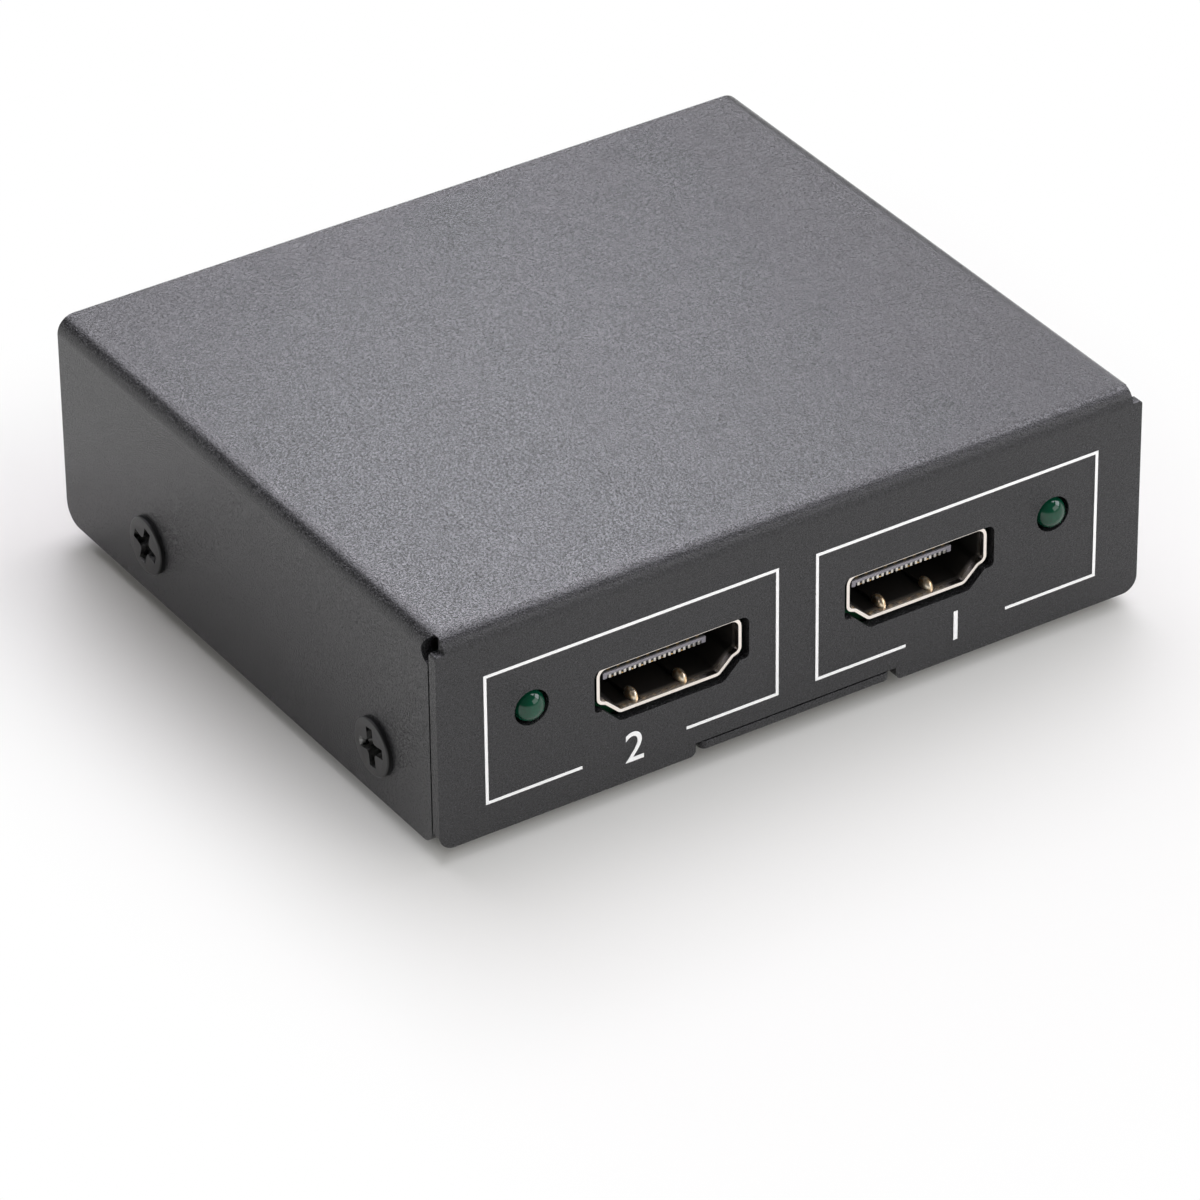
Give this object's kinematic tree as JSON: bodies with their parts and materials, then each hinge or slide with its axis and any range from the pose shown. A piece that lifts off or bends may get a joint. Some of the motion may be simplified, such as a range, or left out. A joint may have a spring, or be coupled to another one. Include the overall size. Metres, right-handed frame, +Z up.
{
  "type": "video splitter",
  "caption": "Flat box of folded, powder-coated steel that sends one video input on its rear panel to output sockets on its front, with indicator lamps, side screws and rubber feet.",
  "frame": {"origin": "under the middle of the case, on the surface that the feet stand on", "axes": "+X to the right seen from the front, -Y out of the front with the output sockets, +Z up"},
  "size_m": [0.0728, 0.0632, 0.0223],
  "materials": {
    "powder_coat": "fine textured powder coat",
    "black_screw": "black oxide, satin",
    "rubber": "matt",
    "board": "solder resist, satin",
    "nickel": "bright nickel plate",
    "black_plastic": "moulded, satin",
    "gold": "flash gold plate",
    "tin": "bright tin plate",
    "lamp_green": "tinted clear resin, gloss",
    "can_metal": "bare, satin",
    "ceramic": "fired ceramic, matt",
    "ferrite": "matt",
    "white_ink": "screen print"
  },
  "bodies": {
    "root": {"top_cover": "powder_coat", "base_tray": "powder_coat", "cover_screws": "black_screw", "rubber_feet": "rubber", "circuit_board": "board", "board_standoffs": "tin", "board_screws": "tin", "video_output_1_shell": "nickel", "video_output_1_insulator": "black_plastic", "video_output_1_contacts": "gold", "video_output_2_shell": "nickel", "video_output_2_insulator": "black_plastic", "video_output_2_contacts": "gold", "video_input_shell": "nickel", "video_input_insulator": "black_plastic", "video_input_contacts": "gold", "power_jack_housing": "black_plastic", "power_jack_pin": "gold", "power_jack_spring": "tin", "lamp_1_lens": "lamp_green", "lamp_1_leads": "tin", "lamp_2_lens": "lamp_green", "lamp_2_leads": "tin", "splitter_chip": "black_plastic", "splitter_chip_pins": "tin", "control_chip": "black_plastic", "control_chip_pins": "tin", "crystal_can": "can_metal", "voltage_regulator": "black_plastic", "regulator_pins": "tin", "power_inductor": "ferrite", "capacitor_cans": "can_metal", "capacitor_bases": "black_plastic", "chip_capacitors": "ceramic", "chip_resistors": "black_plastic", "surge_arrays": "black_plastic", "board_fuse": "ceramic"}
  },
  "joints": []
}
